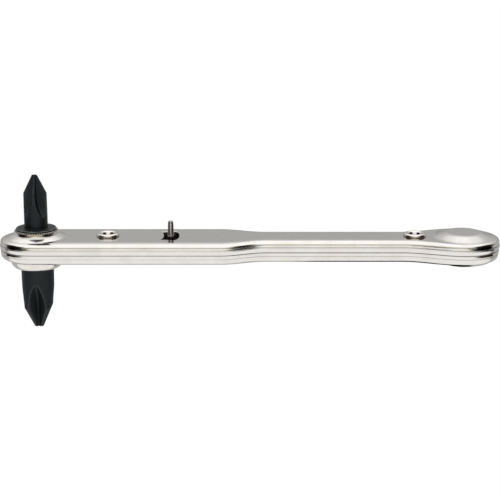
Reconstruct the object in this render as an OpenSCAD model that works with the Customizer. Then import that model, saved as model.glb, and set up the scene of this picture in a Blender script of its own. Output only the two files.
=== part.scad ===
// Offset ratchet screwdriver. Two pressed steel shells hold a double-ended cross-point
// spindle with a toothed wheel, and a rocker pawl that a small pin reverses.
// Millimetres. X runs from the head to the grip end and Z along the spindle.
// The origin is the tip of the large point.

/* [Shells] */
// Length over the head and the grip end
body_len = 126.9; // [118:0.1:140]
// Radius of the head, and half the width of the body behind it
head_r = 9.3; // [9.2:0.05:10.2]
// Half the width of the slim grip
grip_half_w = 5.55; // [5.2:0.05:6.5]
// Radius of the bulb at the grip end
bulb_r = 9.7; // [9:0.1:11]
// Depth of the upper shell over the parting line
upper_depth = 2.95; // [2.9:0.01:3.4]
// Depth of the lower shell under the parting line
lower_depth = 2.7; // [2.6:0.01:3.1]
// Thickness of the pressed sheet
wall = 0.9; // [0.8:0.01:1]
// Height of the upper lip beside the parting line
upper_lip = 1.2; // [1:0.01:1.3]
// Height of the lower lip beside the parting line
lower_lip = 0.9; // [0.8:0.01:1]
// How far the lips stand out over the groove beside them
lip_step = 0.15; // [0.1:0.01:0.25]
// Height of the shallow groove between a lip and the shoulder
groove_h = 0.75; // [0.5:0.01:0.85]
// Width of the rounded shoulder beside the flat, at the head
head_shoulder = 2.15; // [1.8:0.05:2.6]
// Width of the rounded shoulder beside the flat, on the grip
grip_shoulder = 1.4; // [1.2:0.05:2]
// Where the body starts to narrow behind the reversing pin
neck_start_x = 46.8; // [45:0.1:50]
// Where the slim grip starts
neck_end_x = 58; // [54:0.1:64]
// Length over which the grip widens into the bulb
flare_len = 15.4; // [12:0.1:20]
// How far the crown of the bulb stands over the grip
bulb_rise = 1.05; // [0.6:0.01:1.4]
// Radius of the flat on the crown of the bulb
bulb_flat_r = 5; // [4:0.1:6]
// Slope of the bulb from its flat to its shoulder, in degrees
bulb_slope = 19; // [14:1:24]

/* [Collars] */
// Height of the upper collar over the flat of the shell
upper_collar_h = 1.62; // [1.2:0.01:1.8]
// Radius of the upper collar at the foot of its band
upper_collar_r = 5.8; // [5.75:0.05:6.1]
// Height of the band at the top of the upper collar
collar_band = 0.82; // [0.4:0.01:0.9]
// How far the band leans in towards its top
collar_draft = 0.2; // [0.05:0.01:0.25]
// Height of the lower collar under the flat of the shell
lower_collar_h = 2.5; // [2.4:0.01:3.2]
// Radius of the lower collar at its mouth
lower_collar_r = 4.95; // [4.8:0.05:5.2]
// Radius of the lower collar at its root
bowl_r = 6.7; // [6.4:0.05:7]

/* [Spindle] */
// Length from the large point to the parting line
large_reach = 20.75; // [19:0.05:24]
// Length from the parting line to the small point
small_reach = 18.75; // [17.5:0.05:22]
// Radius of the spindle in its bushes
journal_r = 4.2; // [4:0.01:4.3]
// Radius of the plain shank above the flange
small_shank_r = 2.92; // [2.6:0.01:3.2]
// Radius of the small shank where its point starts
small_point_r = 2.88; // [2.6:0.01:3.1]
// Length of the fluted and slightly tapered part of the small end, from its tip
small_taper_len = 11.1; // [10.8:0.1:12]
// Radius of the shank below the body
large_shank_r = 4.1; // [3.8:0.01:4.15]
// Radius of the large shank where its point starts
large_point_r = 3.75; // [3.4:0.01:3.9]
// Radius of the flat at the small tip
small_tip_r = 0.64; // [0.5:0.01:0.9]
// Radius of the flat at the large tip
large_tip_r = 1.1; // [0.9:0.01:1.4]
// Half angle of the points, in degrees
point_half_angle = 26; // [25:0.5:30]
// Radius of the flange over the upper collar
flange_r = 5.1; // [4.9:0.01:5.3]
// Thickness of the flange
flange_t = 0.4; // [0.35:0.01:0.6]
// Straight length of the flutes of the small point, from its tip
small_flute_len = 6.1; // [5:0.1:6.4]
// Straight length of the flutes of the large point, from its tip
large_flute_len = 3.9; // [3:0.1:5]
// Radius of the milling wheel that the flutes of the small point run out on
small_wheel_r = 6.2; // [5.5:0.1:6.5]
// Radius of the milling wheel that the flutes of the large point run out on
large_wheel_r = 12.5; // [11:0.1:14]
// Included angle of the flutes, in degrees
flute_angle = 96; // [88:1:104]

/* [Ratchet] */
// Teeth of the ratchet wheel
teeth = 16; // [12:4:16]
// Wall of the wheel between the spindle and the roots of its teeth
gear_wall = 1.3; // [1.2:0.01:1.5]
// Depth of the teeth
tooth_depth = 0.9; // [0.7:0.01:1]
// Thickness of each thrust washer
washer_t = 0.28; // [0.2:0.01:0.35]
// Thickness of the friction washer
friction_t = 0.26; // [0.2:0.01:0.35]
// Wall of the bushes in the collars
bush_wall = 0.65; // [0.5:0.01:0.7]
// Points of the serrated rim on the upper bush
serrations = 44; // [36:4:56]
// Radius of the two keys between the wheel and the spindle
key_r = 0.55; // [0.4:0.01:0.65]

/* [Reverser] */
// Distance from the spindle to the front rivet, on which the pawl rocks
pivot_x = 18.15; // [18:0.05:19]
// Distance from the front rivet to the reversing pin
pin_reach = 15.95; // [15:0.05:16.5]
// Radius of the reversing pin
pin_r = 0.82; // [0.6:0.01:0.9]
// How far the pin stands over the flat of the upper shell
pin_stand = 4; // [3:0.05:5]
// Swing of the pawl to each side, in degrees
swing = 12; // [11:0.5:12.5]
// Width of the slot, along the body
slot_w = 3.9; // [3:0.1:4.4]
// How far the middle of the slot lies behind the pin
slot_back = 0.2; // [0:0.05:0.4]
// Height of the crests that the pawl's nose crosses on the leaf spring
crest_h = 0.45; // [0.3:0.01:0.6]
// Thickness of the leaf spring
leaf_t = 0.3; // [0.2:0.01:0.4]
// Radius of the two posts behind the leaf spring
post_r = 0.7; // [0.5:0.01:0.9]

/* [Rivets] */
// Distance from the rear rivet to the centre of the bulb
rear_rivet_reach = 11.9; // [10:0.1:16]
// Radius of the rivets in the shells
rivet_r = 2.05; // [1.9:0.01:2.2]
// Radius of the rolled end where it meets the upper shell
rolled_r = 2.85; // [2.7:0.01:3.1]
// Height of the rolled end over the upper shell
rolled_h = 0.65; // [0.5:0.01:0.9]
// Radius of the mouth of the hollow end
mouth_r = 1.95; // [1.8:0.01:2.1]
// Radius of the head under the lower shell
rivet_head_r = 2.6; // [2.4:0.01:3]
// Height of the head under the lower shell
rivet_head_h = 0.4; // [0.3:0.01:0.6]

/* [Hidden] */

// Facets of true round surfaces
$fn = 72;
// Overrun of every cut
cut = 0.5;
// Running gap between faces that turn or slide on each other
run_gap = 0.03;
// Gap round pieces that turn inside the body
free_gap = 0.15;

// Places worked out from the sizes above
bulb_x = body_len - head_r - bulb_r;
flare_start_x = bulb_x - flare_len;
rear_rivet_x = bulb_x - rear_rivet_reach;
upper_in = upper_depth - wall;
lower_in = lower_depth - wall;
collar_top = upper_depth + upper_collar_h;
collar_low = lower_depth + lower_collar_h;
pin_x = pivot_x + pin_reach;

// Stations of the shells: steps of the round ends in degrees, and steps along the tapers
fan_step = 10;
neck_steps = 8;
flare_steps = 9;
// Edge break at the parting line
edge_break = 0.12;
// How far the shoulder of the bulb lies below the flat of the grip
bulb_edge_drop = 0.3;
// Where that drop starts, as a share of the flare
drop_start_share = 0.45;
// Width of the shoulder round the bulb
bulb_shoulder = 1.2;
// Angles at which the shoulder is drawn, as shares of a right angle
shoulder_shares = [0, 0.2, 0.4, 0.6, 0.8, 1];
// Levels between the shoulder and the centre line, as shares of the way
crown_shares = [0.14, 0.28, 0.42, 0.56, 0.78];
// Levels of the inner shoulder, and of the inner crown, as shares of their way
inner_shoulder_shares = [0, 0.35, 0.7, 1];
inner_crown_shares = [0.3, 0.56];

function ease(t) = t <= 0 ? 0 : t >= 1 ? 1 : t * t * (3 - 2 * t);
function mix(a, b, t) = a + (b - a) * ease(t);
function neck_share(x) = (x - neck_start_x) / (neck_end_x - neck_start_x);
function flare_share(x) = (x - flare_start_x) / (bulb_x - flare_start_x);

// Half width of the body, width of its shoulder and drop of its shoulder at x
function half_w(x) =
    x <= neck_end_x
        ? mix(head_r, grip_half_w, neck_share(x))
        : mix(grip_half_w, bulb_r, flare_share(x));
function shoulder_w(x) =
    x <= neck_end_x
        ? mix(head_shoulder, grip_shoulder, neck_share(x))
        : mix(grip_shoulder, bulb_shoulder, flare_share(x));
function shoulder_drop(x) =
    bulb_edge_drop * ease((flare_share(x) - drop_start_share) / (1 - drop_start_share));

// Height of the crown over a point of the plan: the flat of the body, or the bulb's cone
function bulb_z(x, y, depth) =
    depth + bulb_rise - tan(bulb_slope) * max(0, norm([x - bulb_x, y]) - bulb_flat_r);
function crown_z(x, y, depth) = max(depth - shoulder_drop(x), bulb_z(x, y, depth));

// A station is the place of its centre along X and the direction of its section
half_stations = concat(
    [for (a = [180 : -fan_step : 90]) [0, a]],
    [for (k = [0 : neck_steps]) [neck_start_x + (neck_end_x - neck_start_x) * k / neck_steps, 90]],
    [for (k = [0 : flare_steps - 1]) [flare_start_x + (bulb_x - flare_start_x) * k / flare_steps, 90]],
    [for (a = [90 : -fan_step : 0]) [bulb_x, a]]
);
last = len(half_stations) - 1;
stations = concat(
    half_stations,
    [for (i = [last - 1 : -1 : 1]) [half_stations[i][0], -half_stations[i][1]]]
);

// Outer section of a shell at x, as pairs of inset and height, from the parting line up
function outer_section(x, depth, lip) =
    let (
        top = depth - shoulder_drop(x),
        low = lip + groove_h,
        start = 2 * lip_step
    )
    concat(
        [[edge_break, 0], [0, edge_break], [0, lip - edge_break], [lip_step, lip]],
        [for (s = shoulder_shares) [
            start + (shoulder_w(x) - start) * (1 - cos(90 * s)),
            low + (top - low) * sin(90 * s)
        ]]
    );

// Inner section of a shell at x, one wall inside the outer one
function inner_section(x, depth, lip) =
    let (
        top = depth - shoulder_drop(x) - wall,
        low = min(lip, top / 2),
        start = wall + lip_step,
        end = max(shoulder_w(x), start + lip_step)
    )
    concat(
        [[start, -cut]],
        [for (s = inner_shoulder_shares) [
            start + (end - start) * (1 - cos(90 * s)),
            low + (top - low) * sin(90 * s)
        ]]
    );

function section_point(station, inset, z) =
    let (r = half_w(station[0]) - inset)
    [station[0] + r * cos(station[1]), r * sin(station[1]), z];

// Points of one station: its section, then the crown up to the centre line
function station_points(station, section, shares, depth) =
    let (
        flat = half_w(station[0]) - section[len(section) - 1][0],
        x = station[0],
        a = station[1]
    )
    concat(
        [for (p = section) section_point(station, p[0], p[1])],
        [for (s = shares)
            let (r = flat * (1 - s), px = x + r * cos(a), py = r * sin(a))
            [px, py, crown_z(px, py, depth)]]
    );

// The centre line has one point for each station of the straight part
fan_count = 90 / fan_step;
function spine_index(q) =
    let (i = q <= last ? q : 2 * last - q)
    min(max(i - fan_count, 0), last - 2 * fan_count);

// A closed solid over all stations, with a flat bottom
module loft(rows, spine) {
    m = len(rows[0]);
    n = len(rows);
    base = n * m;
    points = concat([for (r = rows) for (p = r) p], spine);
    sides = [
        for (q = [0 : n - 1]) for (j = [0 : m - 2])
            let (a = q * m + j, b = ((q + 1) % n) * m + j)
            each [[a, b, b + 1], [a, b + 1, a + 1]]
    ];
    crown = [
        for (q = [0 : n - 1])
            let (
                a = q * m + m - 1,
                b = ((q + 1) % n) * m + m - 1,
                sa = base + spine_index(q),
                sb = base + spine_index((q + 1) % n)
            )
            each sa == sb ? [[a, b, sb]] : [[a, b, sb], [a, sb, sa]]
    ];
    bottom = [
        for (i = [0 : last - 1])
            let (a = i * m, b = (i + 1) * m, c = (n - i - 1) * m, d = ((n - i) % n) * m)
            each i == 0 ? [[a, c, b]] : i == last - 1 ? [[a, d, b]] : [[a, c, b], [a, d, c]]
    ];
    polyhedron(points, concat(sides, crown, bottom), 10);
}

spine_stations = [for (i = [fan_count : last - fan_count]) half_stations[i]];

module outer_loft(depth, lip) {
    loft(
        [for (s = stations)
            station_points(s, outer_section(s[0], depth, lip), crown_shares, depth)],
        [for (s = spine_stations) [s[0], 0, crown_z(s[0], 0, depth)]]
    );
}

module inner_loft(depth, lip) {
    loft(
        [for (s = stations)
            station_points(s, inner_section(s[0], depth, lip), inner_crown_shares, depth - wall)],
        [for (s = spine_stations) [s[0], 0, crown_z(s[0], 0, depth - wall)]]
    );
}

module at_pivot() {
    translate([pivot_x, 0, 0]) children();
}

// A round hole through one shell
module shell_hole(x, r) {
    translate([x, 0, -cut])
        cylinder(r = r, h = max(collar_top, collar_low) + 2 * cut);
}

// Slope of the upper collar: a hollow curve from its band out to the shoulder of the head
flare_shares = [0, 0.12, 0.28, 0.5, 0.75, 1];
flare_low = upper_depth - wall / 3;
flare_out = head_r - head_shoulder / 3;
function flare_point(s) = [
    upper_collar_r + (flare_out - upper_collar_r) * s,
    flare_low + (collar_top - collar_band - flare_low) * pow(1 - s, 2)
];
// Edge radius of the collars, drawn as a chamfer
collar_edge = 0.12;
rim_seat_r = upper_collar_r - collar_draft;

module upper_collar() {
    rotate_extrude()
        polygon(concat(
            [[0, upper_in], [0, collar_top]],
            [[rim_seat_r - collar_edge, collar_top], [rim_seat_r, collar_top - collar_edge]],
            [for (s = flare_shares) flare_point(s)],
            [[flare_out, upper_in]]
        ));
}

// The slot for the reversing pin is an arc about the front rivet
slot_in_r = pin_reach + slot_back - slot_w / 2;
slot_half = swing + asin((pin_r + 2 * run_gap) / slot_in_r);
module pin_slot() {
    at_pivot()
        translate([0, 0, upper_in - cut])
            rotate([0, 0, -slot_half])
                rotate_extrude(angle = 2 * slot_half)
                    translate([slot_in_r, 0])
                        square([slot_w, wall + 2 * cut]);
}

bush_r = journal_r + run_gap + bush_wall;

module upper_shell() {
    color([0.80, 0.79, 0.77])
        difference() {
            union() {
                outer_loft(upper_depth, upper_lip);
                upper_collar();
            }
            inner_loft(upper_depth, upper_lip);
            shell_hole(0, bush_r);
            shell_hole(pivot_x, rivet_r);
            shell_hole(rear_rivet_x, rivet_r);
            pin_slot();
        }
}

// Bulge of the lower collar between its root and its mouth, and the seat of the ring in it
bulge_shares = [0, 0.15, 0.3, 0.45, 0.6, 0.75, 0.9, 1];
lower_mouth_r = large_shank_r + free_gap;
ring_t = 0.5;
lower_bush_len = 1.8;
ring_z = lower_in + lower_bush_len + free_gap;
ring_seat = ring_z + ring_t + free_gap;

module lower_collar() {
    rotate_extrude()
        polygon(concat(
            [[0, lower_in], [bowl_r, lower_in]],
            [for (s = bulge_shares) [
                lower_collar_r + (bowl_r - lower_collar_r) * cos(90 * s),
                lower_depth + (lower_collar_h - collar_edge) * sin(90 * s)
            ]],
            [[lower_collar_r - collar_edge, collar_low], [0, collar_low]]
        ));
}

module lower_shell() {
    color([0.80, 0.79, 0.77])
        mirror([0, 0, 1])
            difference() {
                union() {
                    outer_loft(lower_depth, lower_lip);
                    lower_collar();
                }
                inner_loft(lower_depth, lower_lip);
                shell_hole(0, lower_mouth_r);
                cylinder(r = bush_r, h = ring_seat);
                shell_hole(pivot_x, rivet_r);
                shell_hole(rear_rivet_x, rivet_r);
            }
}

// Heights in the spindle's stack, from the parting line
bush_rim_t = 0.16;
flange_z = collar_top + bush_rim_t + run_gap;
gear_top = upper_in - washer_t - 2 * run_gap;
gear_low = lower_in - washer_t - friction_t - 3 * run_gap;
ring_groove = 0.42;
point_break = 0.12;
small_cone_h = (small_point_r - small_tip_r) / tan(point_half_angle);
large_cone_h = (large_point_r - large_tip_r) / tan(point_half_angle);
// Radius of the core left between the flutes at each tip
small_core_r = 0.36;
large_core_r = 0.69;
// Turn of the flutes of each point, in degrees
small_flute_turn = -46;
large_flute_turn = -91.5;
// Lean of the straight part of the flutes, in degrees
flute_tilt = 2.5;

// Four vee grooves: straight from the tip, then run out on a wheel with a vee rim
module flutes(tip_z, core_r, shank_r, flute_len, wheel_r, turn) {
    side = shank_r * tan(flute_angle / 2);
    for (k = [0 : 3])
        rotate([0, 0, turn + 90 * k])
            translate([core_r, 0, tip_z])
                rotate([0, -flute_tilt, 0]) {
                    translate([0, 0, -flute_len])
                        linear_extrude(flute_len + shank_r)
                            polygon([[0, 0], [shank_r, side], [shank_r, -side]]);
                    translate([wheel_r, 0, -flute_len])
                        rotate([90, 0, 0])
                            rotate_extrude()
                                polygon([
                                    [0, -side], [wheel_r - shank_r, -side], [wheel_r, 0],
                                    [wheel_r - shank_r, side], [0, side]
                                ]);
                }
}

module bit() {
    color([0.15, 0.17, 0.18])
        difference() {
            rotate_extrude()
                polygon([
                    [0, -large_reach],
                    [large_tip_r - point_break, -large_reach],
                    [large_tip_r, -large_reach + point_break],
                    [large_point_r, -large_reach + large_cone_h],
                    [large_shank_r, -collar_low - run_gap],
                    [large_shank_r, -ring_seat],
                    [journal_r, -ring_seat + run_gap],
                    [journal_r, -ring_z - ring_t - run_gap],
                    [journal_r - ring_groove, -ring_z - ring_t - run_gap],
                    [journal_r - ring_groove, -ring_z + run_gap],
                    [journal_r, -ring_z + run_gap],
                    [journal_r, flange_z],
                    [flange_r, flange_z],
                    [flange_r, flange_z + flange_t - point_break],
                    [flange_r - point_break, flange_z + flange_t],
                    [small_shank_r, flange_z + flange_t],
                    [small_shank_r, small_reach - small_taper_len],
                    [small_point_r, small_reach - small_cone_h],
                    [small_tip_r, small_reach - point_break],
                    [small_tip_r - point_break, small_reach],
                    [0, small_reach]
                ]);
            flutes(small_reach, small_core_r, small_shank_r, small_flute_len,
                small_wheel_r, small_flute_turn);
            mirror([0, 0, 1])
                flutes(large_reach, large_core_r, large_shank_r, large_flute_len,
                    large_wheel_r, large_flute_turn);
            key_ways();
        }
}

module key_ways() {
    for (a = [0, 180])
        rotate([0, 0, a])
            translate([journal_r, 0, -gear_low])
                cylinder(r = key_r, h = gear_low + gear_top);
}

// Tooth form: the gaps widen from the root to the tip, given as shares of the pitch
root_gap_share = 0.62;
tip_gap_share = 0.8;
pitch_angle = 360 / teeth;
gear_root_r = journal_r + gear_wall;
gear_tip_r = gear_root_r + tooth_depth;

function polar(r, a) = [r * cos(a), r * sin(a)];

module ratchet_gear() {
    root = pitch_angle * root_gap_share / 2;
    tip = pitch_angle * tip_gap_share / 2;
    color([0.62, 0.62, 0.62])
        difference() {
            translate([0, 0, -gear_low])
                linear_extrude(gear_low + gear_top)
                    polygon([for (k = [0 : teeth - 1])
                        let (gap = pitch_angle * k)
                        each [
                            polar(gear_tip_r, gap - tip),
                            polar(gear_root_r, gap - root),
                            polar(gear_root_r, gap + root),
                            polar(gear_tip_r, gap + tip)
                        ]]);
            translate([0, 0, -gear_low - cut])
                cylinder(r = journal_r, h = gear_low + gear_top + 2 * cut);
            key_ways();
        }
}

module drive_keys() {
    color([0.55, 0.55, 0.56]) key_ways();
}

// Rim of the upper bush, with small points all round
rim_over = 0.28;
rim_r = flange_r + rim_over;
serration_depth = 0.13;

module upper_bush() {
    color([0.84, 0.80, 0.72])
        difference() {
            union() {
                translate([0, 0, upper_in])
                    cylinder(r = bush_r, h = collar_top - upper_in);
                translate([0, 0, collar_top])
                    linear_extrude(bush_rim_t)
                        polygon([for (k = [0 : 2 * serrations - 1])
                            polar(rim_r - (k % 2) * serration_depth, 180 * k / serrations)]);
            }
            translate([0, 0, upper_in - cut])
                cylinder(r = journal_r + run_gap, h = collar_top - upper_in + bush_rim_t + 2 * cut);
        }
}

module washer(outer_r, inner_r, low, high) {
    translate([0, 0, low])
        difference() {
            cylinder(r = outer_r, h = high - low);
            translate([0, 0, -cut]) cylinder(r = inner_r, h = high - low + 2 * cut);
        }
}

module lower_bush() {
    color([0.78, 0.62, 0.36])
        washer(bush_r, journal_r + run_gap, -lower_in - lower_bush_len, -lower_in);
}

washer_r = gear_root_r + tooth_depth / 2;

module upper_thrust_washer() {
    color([0.70, 0.70, 0.70])
        washer(washer_r, journal_r + free_gap, gear_top + run_gap, upper_in - run_gap);
}

module lower_thrust_washer() {
    color([0.70, 0.70, 0.70])
        washer(washer_r, journal_r + free_gap, -lower_in + run_gap, -lower_in + run_gap + washer_t);
}

module friction_washer() {
    color([0.45, 0.47, 0.50])
        washer(gear_root_r, journal_r + free_gap, -gear_low - run_gap - friction_t, -gear_low - run_gap);
}

// The ring is open on one side so that it snaps into its groove
ring_gap_w = 1.6;

module retaining_ring() {
    color([0.40, 0.41, 0.43])
        difference() {
            washer(bush_r - free_gap, journal_r - ring_groove + run_gap, -ring_z - ring_t, -ring_z);
            translate([0, -ring_gap_w / 2, -ring_z - ring_t - cut])
                cube([bush_r, ring_gap_w, ring_t + 2 * cut]);
        }
}

// Pawl: eye on the pivot bush, two jaws before it and a nosed tail behind it
pivot_wall = 0.65;
pivot_bush_r = rivet_r + run_gap + pivot_wall;
eye_wall = 1.6;
eye_r = pivot_bush_r + run_gap + eye_wall;
bush_flange_t = 0.6;
bush_flange_w = 0.8;
pivot_washer_t = 0.55;
pawl_low = -lower_in + bush_flange_t + run_gap;
pawl_high = upper_in - pivot_washer_t - 2 * run_gap;
// Clearance of the jaws in a gap of the wheel, and of the pawl's hollow face round the wheel
jaw_gap = 0.08;
face_gap = 0.2;
jaw_root_r = 1.1;
jaw_tip_w = 0.45;
// Half width of the tail at the pin, and how far its nose reaches past the pin
tail_half_w = 2.3;
nose_over = 2.9;
nose_r = 0.6;
nose_half_w = 0.5;
nose_reach = pin_reach + nose_over;

// Swings a point of a jaw that is fully in to its place in neutral, on either side
function swung(p, side) =
    let (v = p - [pivot_x, 0])
    [pivot_x + v[0] * cos(swing) + v[1] * sin(swing), side * (v[1] * cos(swing) - v[0] * sin(swing))];

// Angles of the jaw about the spindle: its driving side lies on the flank of the tooth
// beside the centre line, and its other side is sloped for strength
jaw_tip_reach = gear_root_r + jaw_gap;
flank_root = pitch_angle * (1 - root_gap_share / 2) + asin(jaw_gap / gear_root_r);
flank_tip = pitch_angle * (1 - tip_gap_share / 2) + asin(jaw_gap / gear_tip_r);
jaw_back = flank_root + asin(jaw_tip_w / jaw_tip_reach);
jaw_slope = 2.4;
jaw_base_reach = gear_tip_r + jaw_root_r;
jaw_points = [
    polar(jaw_tip_reach, flank_root),
    polar(gear_tip_r, flank_tip),
    polar(jaw_base_reach, flank_tip),
    polar(jaw_base_reach, jaw_back + 2 * jaw_slope),
    polar(gear_tip_r, jaw_back + jaw_slope),
    polar(jaw_tip_reach, jaw_back)
];
jaw_base = swung(polar(jaw_base_reach, (flank_tip + jaw_back + 2 * jaw_slope) / 2), 1);
// Where the arms meet the round roots of the jaws, as a share of the roots' radius
arm_edge_share = 0.85;

module pawl_outline() {
    arm_y = jaw_base[1] + jaw_root_r * arm_edge_share;
    tail_x = pivot_x + nose_reach - nose_r;
    difference() {
        union() {
            translate([pivot_x, 0]) circle(r = eye_r);
            polygon([
                [pivot_x, eye_r], [jaw_base[0], arm_y], jaw_base,
                [jaw_base_reach, 0],
                [jaw_base[0], -jaw_base[1]], [jaw_base[0], -arm_y], [pivot_x, -eye_r]
            ]);
            for (side = [1, -1]) translate([jaw_base[0], side * jaw_base[1]]) circle(r = jaw_root_r);
            polygon([
                [pivot_x, -eye_r], [pin_x, -tail_half_w], [tail_x, -nose_half_w],
                [tail_x, nose_half_w], [pin_x, tail_half_w], [pivot_x, eye_r]
            ]);
            translate([tail_x, 0]) circle(r = nose_r);
        }
        for (k = [-3 : 3])
            at_pivot() rotate([0, 0, swing * k / 3]) translate([-pivot_x, 0])
                circle(r = gear_tip_r + face_gap);
    }
    polygon([for (p = jaw_points) swung(p, 1)]);
    polygon([for (i = [len(jaw_points) - 1 : -1 : 0]) swung(jaw_points[i], -1)]);
}

module rocker_pawl() {
    color([0.20, 0.20, 0.21])
        difference() {
            translate([0, 0, pawl_low]) linear_extrude(pawl_high - pawl_low) pawl_outline();
            translate([pivot_x, 0, pawl_low - cut])
                cylinder(r = pivot_bush_r + run_gap, h = pawl_high - pawl_low + 2 * cut);
            translate([pin_x, 0, pawl_low - cut])
                cylinder(r = pin_r, h = pawl_high - pawl_low + 2 * cut);
        }
}

// The pin is slightly drawn in towards its rounded top
pin_top = upper_depth + pin_stand;
pin_draw = 0.12;
pin_top_r = pin_r - pin_draw;
pin_round = 0.4;

module reversing_pin() {
    color([0.72, 0.72, 0.73])
        translate([pin_x, 0, 0])
            rotate_extrude()
                polygon(concat(
                    [[0, pawl_low], [pin_r, pawl_low], [pin_r, upper_depth]],
                    [for (s = [0, 0.33, 0.67, 1]) [
                        pin_top_r * cos(90 * s),
                        pin_top - pin_round * (1 - sin(90 * s))
                    ]]
                ));
}

module pivot_bush() {
    color([0.66, 0.66, 0.67])
        at_pivot()
            difference() {
                union() {
                    translate([0, 0, -lower_in])
                        cylinder(r = pivot_bush_r, h = lower_in + upper_in);
                    translate([0, 0, -lower_in])
                        cylinder(r = pivot_bush_r + bush_flange_w, h = bush_flange_t);
                }
                translate([0, 0, -lower_in - cut])
                    cylinder(r = rivet_r, h = lower_in + upper_in + 2 * cut);
            }
}

module pivot_washer() {
    color([0.70, 0.70, 0.70])
        at_pivot()
            washer(pivot_bush_r + bush_flange_w, pivot_bush_r + run_gap,
                upper_in - run_gap - pivot_washer_t, upper_in - run_gap);
}

// The leaf spring is an arc about the front rivet with a dip for each place of the pawl
leaf_half_angle = 21;
leaf_step_angle = 1.5;
leaf_h = 2;
leaf_base = (upper_in - lower_in - leaf_h) / 2;
post_angle = 19;

function leaf_r(a) =
    nose_reach + run_gap
        - (abs(a) <= swing ? crest_h * (1 - cos(360 * a / swing)) / 2 : 0);

module detent_leaf() {
    color([0.36, 0.38, 0.42])
        at_pivot()
            translate([0, 0, leaf_base])
                linear_extrude(leaf_h)
                    polygon(concat(
                        [for (a = [-leaf_half_angle : leaf_step_angle : leaf_half_angle]) polar(leaf_r(a), a)],
                        [for (a = [leaf_half_angle : -leaf_step_angle : -leaf_half_angle]) polar(leaf_r(a) + leaf_t, a)]
                    ));
}

module spring_posts() {
    reach = nose_reach + leaf_t + post_r + 2 * run_gap;
    color([0.66, 0.66, 0.67])
        for (side = [1, -1])
            at_pivot()
                rotate([0, 0, side * post_angle])
                    translate([reach, 0, -lower_in])
                        cylinder(r = post_r, h = lower_in + upper_in);
}

// Rivet: solid lower head, hollow upper end rolled outwards
crest_r = 2.3;
crest_in_r = 2.05;
throat_r = 1.35;
throat_depth = 0.45;
hollow_depth = 2.2;

module rivet() {
    low = -lower_depth;
    top = upper_depth + rolled_h;
    rotate_extrude()
        polygon([
            [0, low - rivet_head_h],
            [rivet_head_r * 2 / 3, low - rivet_head_h],
            [rivet_head_r, low - rivet_head_h / 3],
            [rivet_head_r, low],
            [rivet_r, low],
            [rivet_r, upper_depth],
            [rolled_r, upper_depth],
            [rolled_r, upper_depth + rolled_h / 4],
            [crest_r + (rolled_r - crest_r) / 2, top - rolled_h / 4],
            [crest_r, top],
            [crest_in_r, top],
            [mouth_r - (crest_r - crest_in_r) / 2, top - rolled_h / 4],
            [throat_r, upper_depth - throat_depth],
            [throat_r, upper_depth - hollow_depth],
            [0, upper_depth - hollow_depth]
        ]);
}

module rivets() {
    color([0.82, 0.81, 0.79])
        for (x = [pivot_x, rear_rivet_x])
            translate([x, 0, 0]) rivet();
}

spacer_wall = 0.8;

module rear_spacer() {
    color([0.66, 0.66, 0.67])
        translate([rear_rivet_x, 0, 0])
            washer(rivet_r + spacer_wall, rivet_r, -lower_in, upper_in);
}

// Lifts a piece from the parting line to the frame whose origin is the large point's tip
module placed() {
    translate([0, 0, large_reach]) children();
}

placed() upper_shell();
placed() lower_shell();
placed() bit();
placed() ratchet_gear();
placed() drive_keys();
placed() upper_bush();
placed() lower_bush();
placed() upper_thrust_washer();
placed() lower_thrust_washer();
placed() friction_washer();
placed() retaining_ring();
placed() rocker_pawl();
placed() reversing_pin();
placed() pivot_bush();
placed() pivot_washer();
placed() detent_leaf();
placed() spring_posts();
placed() rivets();
placed() rear_spacer();
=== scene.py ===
"""Looks of the offset ratchet screwdriver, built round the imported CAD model.

Sizes are in millimetres about the parting plane of the body, X from the head to the grip
end and Z along the spindle. Every mesh is lifted and turned into metres when it is made,
so that each object sits at the origin of the CAD frame.
"""

import logging
from dataclasses import dataclass
from enum import Enum
from functools import cache
from math import cos, pi, radians, sin, tan

import bmesh
import bpy
import numpy as np
from bpy.types import Material, Mesh, Object
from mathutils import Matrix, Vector


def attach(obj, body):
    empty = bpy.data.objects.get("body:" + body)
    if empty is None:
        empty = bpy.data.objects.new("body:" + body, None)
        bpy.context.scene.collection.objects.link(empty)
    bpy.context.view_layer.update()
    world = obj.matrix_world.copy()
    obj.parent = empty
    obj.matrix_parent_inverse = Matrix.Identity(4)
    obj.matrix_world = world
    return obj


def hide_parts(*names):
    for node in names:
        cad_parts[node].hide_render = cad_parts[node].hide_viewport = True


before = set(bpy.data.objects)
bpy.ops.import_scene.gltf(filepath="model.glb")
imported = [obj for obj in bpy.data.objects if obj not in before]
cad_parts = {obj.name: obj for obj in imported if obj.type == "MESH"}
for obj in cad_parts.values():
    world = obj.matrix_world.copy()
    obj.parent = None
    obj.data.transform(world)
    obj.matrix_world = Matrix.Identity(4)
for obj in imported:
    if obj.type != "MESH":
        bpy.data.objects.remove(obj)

log = logging.getLogger("screwdriver")

Array = np.ndarray
Span = tuple[float, float]
Triple = tuple[float, float, float]
Colour = Triple

MM = 0.001
LIFT = 20.75  # from the large point's tip to the parting plane
FLAT = 2.95  # height of the upper shell's flat
PIVOT_X = 18.15  # the front rivet
BUSH_R = 4.88  # the bush in the upper collar
MERGE = 2e-7  # points closer than this, in metres, are one
SLIVER = 1e-8  # shorter edges, in metres, are dissolved
SHARP = 38.0  # edges that bend by more, in degrees, stay sharp


class Body(Enum):
    """The CAD bodies that pieces ride on."""

    BODY = "body"
    SPINDLE = "spindle"
    REVERSER = "reverser"


class Slot(Enum):
    """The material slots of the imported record."""

    NICKEL = "nickel_plate"
    BLACK = "black_oxide"
    STEEL = "hardened_steel"
    SPRING = "spring_steel"
    BRONZE = "bronze"


# Arrays and meshes


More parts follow.
